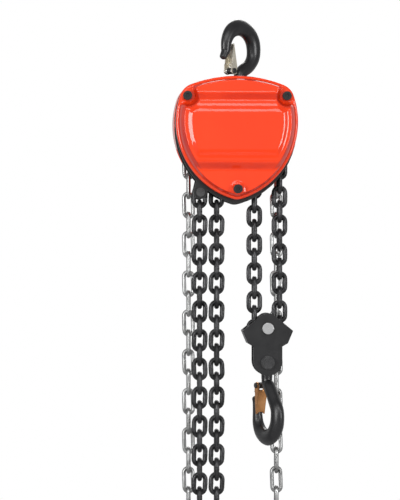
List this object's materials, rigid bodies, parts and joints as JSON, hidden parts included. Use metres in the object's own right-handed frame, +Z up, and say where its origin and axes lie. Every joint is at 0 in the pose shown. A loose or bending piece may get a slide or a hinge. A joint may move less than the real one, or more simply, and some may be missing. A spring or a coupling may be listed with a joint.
{
  "type": "hand chain hoist",
  "caption": "Hand chain hoist with geared casing, swivelling top hook with safety latch, two falls of load chain and a bottom hook block.",
  "frame": {"origin": "bearing point in the bowl of the top hook", "axes": "+Z up, -Y the gear cover side, +X the side of the load falls"},
  "size_m": [0.152, 0.126, 0.6797],
  "materials": {
    "orange_paint": "gloss enamel",
    "black_paint": "satin enamel",
    "hook_black": "forged, satin black",
    "chain_black": "hardened, dark oiled",
    "chain_zinc": "zinc plated",
    "latch_nickel": "yellow zinc plated",
    "latch_bronze": "copper plated",
    "bright_steel": "turned",
    "gear_steel": "hobbed, oiled",
    "cast_iron": "machined casting",
    "friction": "pressed friction lining",
    "bronze": "sintered bronze"
  },
  "bodies": {
    "top_hook": {"top_hook": "hook_black", "top_hook_nut": "gear_steel", "top_hook_pin": "bright_steel", "top_latch_rivet": "bright_steel", "top_latch_spring": "bright_steel"},
    "top_latch": {"top_latch": "latch_nickel"},
    "top_yoke": {"top_yoke": "gear_steel"},
    "frame": {"front_plate": "black_paint", "rear_plate": "black_paint", "stay_bolts": "bright_steel", "front_cover_nuts": "black_paint", "rear_cover_nuts": "black_paint", "gear_cover": "orange_paint", "hand_wheel_cover": "orange_paint", "bearing_plate": "black_paint", "front_load_bearing": "bright_steel", "rear_load_bearing": "bright_steel", "chain_stripper": "cast_iron", "chain_guide_pins": "gear_steel", "slack_anchor_pin": "bright_steel", "slack_anchor_split_pin": "bright_steel", "fall_anchor_pin": "bright_steel", "pawl_studs": "gear_steel", "pawl_springs": "bright_steel", "load_chain_on_sheave": "chain_black", "load_chain_slack": "chain_black", "load_chain_upper_falls": "chain_black", "hand_chain": "chain_zinc"},
    "hand_wheel": {"drive_shaft": "bright_steel", "brake_hub": "cast_iron", "inner_friction_disc": "friction", "ratchet_disc": "gear_steel", "ratchet_bush": "bronze", "outer_friction_disc": "friction", "hand_wheel": "cast_iron", "hand_wheel_nut": "bright_steel", "hand_wheel_split_pin": "bright_steel"},
    "left_disc_gear": {"left_disc_gear": "gear_steel"},
    "right_disc_gear": {"right_disc_gear": "gear_steel"},
    "load_sheave": {"load_sheave": "cast_iron", "load_gear": "gear_steel", "load_gear_clip": "bright_steel"},
    "upper_pawl": {"upper_pawl": "gear_steel"},
    "lower_pawl": {"lower_pawl": "gear_steel"},
    "block": {"front_block_plate": "black_paint", "rear_block_plate": "black_paint", "idle_axle": "bright_steel", "idle_axle_washer": "bright_steel", "block_yoke": "gear_steel", "block_yoke_nuts": "black_paint", "load_chain_lower_falls": "chain_black", "load_chain_on_idler": "chain_black"},
    "idle_sheave": {"idle_sheave": "cast_iron"},
    "bottom_hook": {"bottom_hook": "hook_black", "bottom_hook_nut": "gear_steel", "bottom_hook_pin": "bright_steel", "bottom_latch_rivet": "bright_steel", "bottom_latch_spring": "bright_steel"},
    "bottom_latch": {"bottom_latch": "latch_bronze"}
  },
  "joints": [
    {"name": "hook_swivel", "type": "hinge", "parent": "top_hook", "child": "top_yoke", "pos_m": [0, 0, -0.069], "axis": [0, 0, 1], "continuous": true},
    {"name": "yoke_pivot", "type": "hinge", "parent": "top_yoke", "child": "frame", "pos_m": [0, 0, -0.069], "axis": [0, 1, 0], "range_deg": [-8, 8]},
    {"name": "hand_wheel_spin", "type": "hinge", "parent": "frame", "child": "hand_wheel", "pos_m": [-0.0045, 0, -0.124], "axis": [0, -1, 0], "range_deg": [0, 7560], "deforming": ["hand_chain", "load_chain_slack", "load_chain_on_sheave", "load_chain_upper_falls", "load_chain_lower_falls", "load_chain_on_idler"]},
    {"name": "left_disc_gear_spin", "type": "hinge", "parent": "frame", "child": "left_disc_gear", "pos_m": [-0.0405, 0, -0.124], "axis": [0, -1, 0], "range_deg": [-2160.01, 0]},
    {"name": "right_disc_gear_spin", "type": "hinge", "parent": "frame", "child": "right_disc_gear", "pos_m": [0.0315, 0, -0.124], "axis": [0, -1, 0], "range_deg": [-2160.01, 0]},
    {"name": "load_sheave_spin", "type": "hinge", "parent": "frame", "child": "load_sheave", "pos_m": [-0.0045, 0, -0.124], "axis": [0, -1, 0], "range_deg": [0, 540.01], "deforming": ["hand_chain", "load_chain_slack", "load_chain_on_sheave", "load_chain_upper_falls", "load_chain_lower_falls", "load_chain_on_idler"]},
    {"name": "block_lift", "type": "slide", "parent": "frame", "child": "block", "axis": [0, 0, 1], "range_m": [0, 0.10752], "deforming": ["hand_chain", "load_chain_slack", "load_chain_on_sheave", "load_chain_upper_falls", "load_chain_lower_falls", "load_chain_on_idler"]},
    {"name": "idle_sheave_spin", "type": "hinge", "parent": "block", "child": "idle_sheave", "pos_m": [0.03496, 0, -0.36575], "axis": [0, -1, 0], "range_deg": [-360.01, 0], "deforming": ["hand_chain", "load_chain_slack", "load_chain_on_sheave", "load_chain_upper_falls", "load_chain_lower_falls", "load_chain_on_idler"]},
    {"name": "bottom_hook_swivel", "type": "hinge", "parent": "block", "child": "bottom_hook", "pos_m": [0.03496, 0, -0.40825], "axis": [0, 0, 1], "continuous": true},
    {"name": "top_latch_swing", "type": "hinge", "parent": "top_hook", "child": "top_latch", "pos_m": [-0.0117, -0.01091, -0.045], "axis": [-0.682, 0.7314, 0], "range_deg": [0, 35], "stiffness_Nm_per_rad": 0.004, "springref_deg": -51.57},
    {"name": "bottom_latch_swing", "type": "hinge", "parent": "bottom_hook", "child": "bottom_latch", "pos_m": [0.02845, 0.01462, -0.43825], "axis": [-0.9135, -0.4067, 0], "range_deg": [0, 35], "stiffness_Nm_per_rad": 0.004, "springref_deg": -51.57},
    {"name": "upper_pawl_swing", "type": "hinge", "parent": "frame", "child": "upper_pawl", "pos_m": [0.01494, 0.034, -0.08231], "axis": [0, -1, 0], "range_deg": [0, 8], "stiffness_Nm_per_rad": 0.002, "springref_deg": 34.38},
    {"name": "lower_pawl_swing", "type": "hinge", "parent": "frame", "child": "lower_pawl", "pos_m": [-0.02394, 0.034, -0.16569], "axis": [0, -1, 0], "range_deg": [0, 8], "stiffness_Nm_per_rad": 0.002, "springref_deg": 34.38}
  ],
  "couplings": [
    {"joint": "left_disc_gear_spin", "follows": "hand_wheel_spin", "ratio": -0.28571},
    {"joint": "right_disc_gear_spin", "follows": "hand_wheel_spin", "ratio": -0.28571},
    {"joint": "load_sheave_spin", "follows": "hand_wheel_spin", "ratio": 0.071429},
    {"joint": "idle_sheave_spin", "follows": "hand_wheel_spin", "ratio": -0.047619},
    {"joint": "block_lift", "follows": "hand_wheel_spin", "m_per_rad": 0.00081487}
  ]
}
